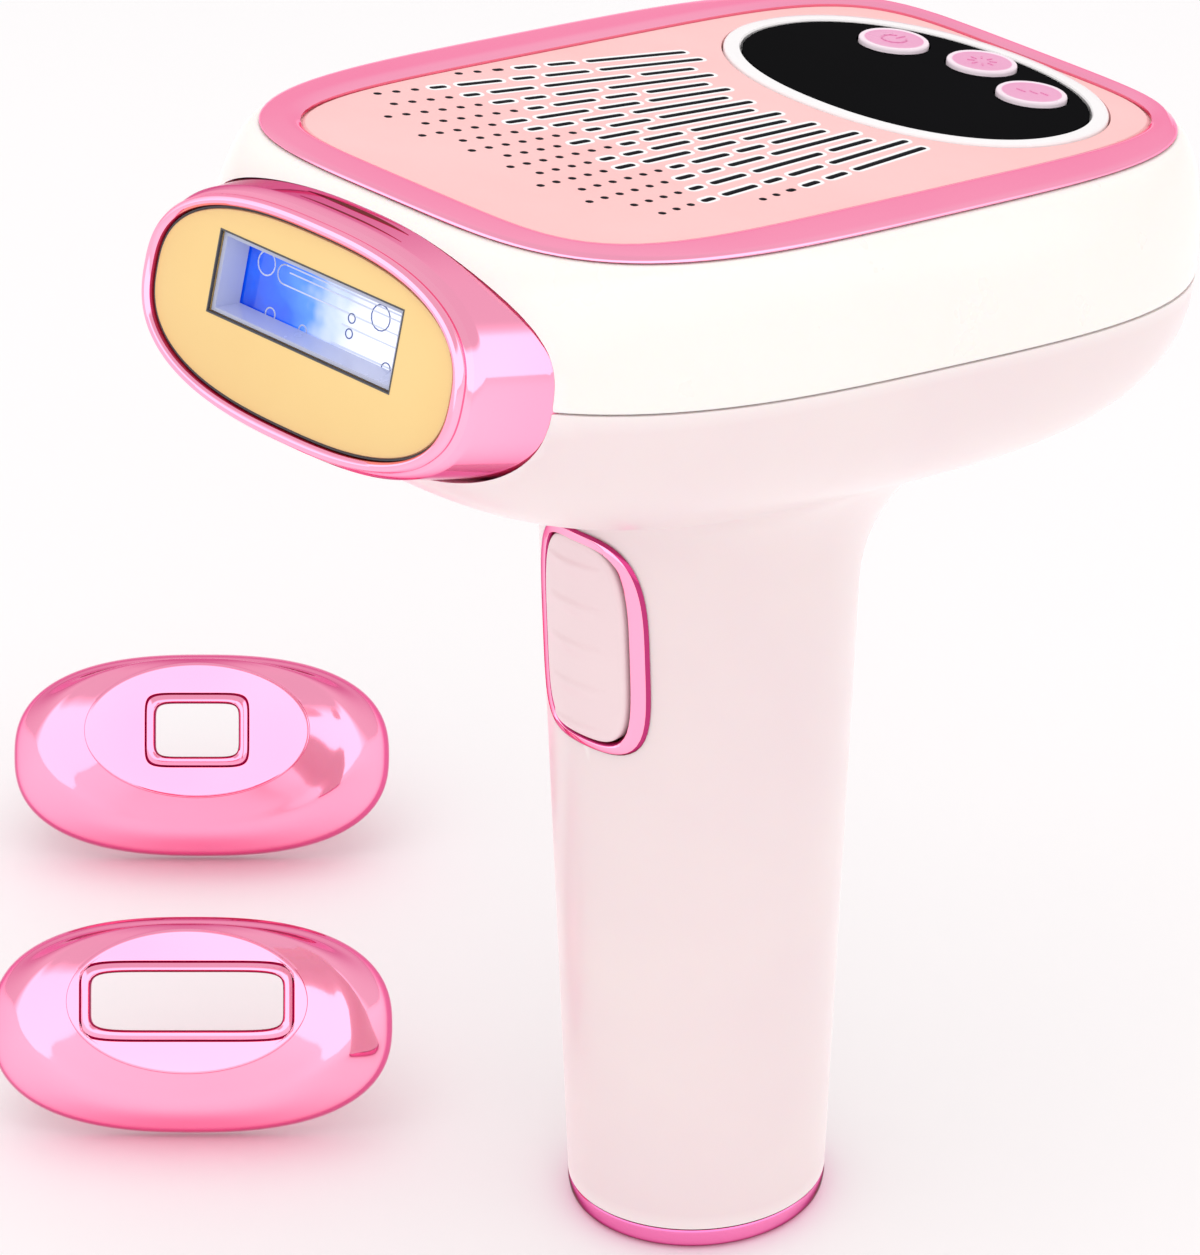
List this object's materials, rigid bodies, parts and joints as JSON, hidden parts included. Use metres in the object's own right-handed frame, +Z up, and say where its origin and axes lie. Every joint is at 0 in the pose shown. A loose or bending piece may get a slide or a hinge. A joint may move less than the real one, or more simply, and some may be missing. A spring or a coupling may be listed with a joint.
{
  "type": "ipl hair remover",
  "caption": "Hand-held light hair remover with an upright handle, a pull-out lamp cartridge, a vented top with display and keys, a trigger and loose push-on window caps.",
  "frame": {"origin": "middle of the flat base of the handle, on the surface it stands on", "axes": "+Z up the handle, -Y the way the nose points, +X to the left of someone holding it with the nose pointing away"},
  "size_m": [0.2202, 0.1656, 0.1973],
  "materials": {
    "shell_white": "satin",
    "handle_pink_white": "satin",
    "pink_plating": "mirror plated",
    "panel_peach": "matte",
    "ring_white": "gloss",
    "lens_black": "high gloss",
    "button_pink": "satin",
    "plate_yellow": "satin",
    "frame_lilac": "satin",
    "filter_blue": "coated glass",
    "trigger_pale": "satin",
    "lamp_glass": "clear",
    "bright_metal": "bright",
    "brass": "bright",
    "board_green": "solder mask",
    "dark_plastic": "matte",
    "grey_plastic": "matte",
    "seal_rubber": "matte",
    "ceramic_white": "glazed",
    "capacitor_sleeve": "sleeved",
    "lead_red": "insulated"
  },
  "bodies": {
    "device": {"upper_shell": "shell_white", "handle_shell": "handle_pink_white", "top_bezel": "pink_plating", "vent_panel": "panel_peach", "display_ring": "ring_white", "display_lens": "lens_black", "display_module": "dark_plastic", "display_board": "board_green", "switch_left": "dark_plastic", "switch_middle": "dark_plastic", "switch_right": "dark_plastic", "contact_block": "dark_plastic", "heat_sink": "bright_metal", "fan_frame": "dark_plastic", "inner_frame": "grey_plastic", "main_board": "board_green", "board_screw_1": "bright_metal", "board_screw_2": "bright_metal", "board_screw_3": "bright_metal", "board_screw_4": "bright_metal", "transformer": "dark_plastic", "trigger_bezel": "pink_plating", "trigger_switch": "dark_plastic", "trigger_bracket": "grey_plastic", "trigger_spring": "bright_metal", "base_ring": "pink_plating", "base_cap": "handle_pink_white", "dc_jack": "dark_plastic", "dc_lead": "lead_red", "flash_capacitor": "capacitor_sleeve", "power_board": "board_green", "main_lead": "lead_red"},
    "lamp_cartridge": {"nose_collar": "pink_plating", "nose_plate": "plate_yellow", "window_frame": "frame_lilac", "plate_seal": "seal_rubber", "filter_glass": "filter_blue", "reflector": "bright_metal", "flash_lamp": "lamp_glass", "lamp_cap_left": "ceramic_white", "lamp_cap_right": "ceramic_white", "lamp_contact_left": "brass", "lamp_contact_right": "brass", "lamp_holder": "grey_plastic"},
    "fan": {"fan_rotor": "dark_plastic"},
    "trigger": {"trigger_button": "trigger_pale"},
    "left_key": {"left_button": "button_pink"},
    "middle_key": {"middle_button": "button_pink"},
    "right_key": {"right_button": "button_pink"},
    "small_cap": {"small_window_cap": "pink_plating"},
    "wide_cap": {"wide_window_cap": "pink_plating"}
  },
  "joints": [
    {"name": "trigger_press", "type": "slide", "parent": "device", "child": "trigger", "axis": [0, 1, 0], "range_m": [0, 0.0015], "stiffness_N_per_m": 400, "springref_m": -0.002},
    {"name": "left_key_press", "type": "slide", "parent": "device", "child": "left_key", "axis": [0, -0.1461, -0.9893], "range_m": [0, 0.0006], "stiffness_N_per_m": 500, "springref_m": -0.001},
    {"name": "middle_key_press", "type": "slide", "parent": "device", "child": "middle_key", "axis": [0, -0.1461, -0.9893], "range_m": [0, 0.0006], "stiffness_N_per_m": 500, "springref_m": -0.001},
    {"name": "right_key_press", "type": "slide", "parent": "device", "child": "right_key", "axis": [0, -0.1461, -0.9893], "range_m": [0, 0.0006], "stiffness_N_per_m": 500, "springref_m": -0.001},
    {"name": "fan_spin", "type": "hinge", "parent": "device", "child": "fan", "pos_m": [0, -0.0065, 0.17907], "axis": [0, 0.1461, 0.9893], "continuous": true},
    {"name": "cartridge_pull", "type": "slide", "parent": "device", "child": "lamp_cartridge", "axis": [0, -0.9893, 0.1461], "range_m": [0, 0.03]},
    {"name": "small_cap_lift", "type": "slide", "parent": "device", "child": "small_cap", "axis": [0, 0, 1], "range_m": [0, 0.06]},
    {"name": "wide_cap_lift", "type": "slide", "parent": "device", "child": "wide_cap", "axis": [0, 0, 1], "range_m": [0, 0.06]}
  ]
}
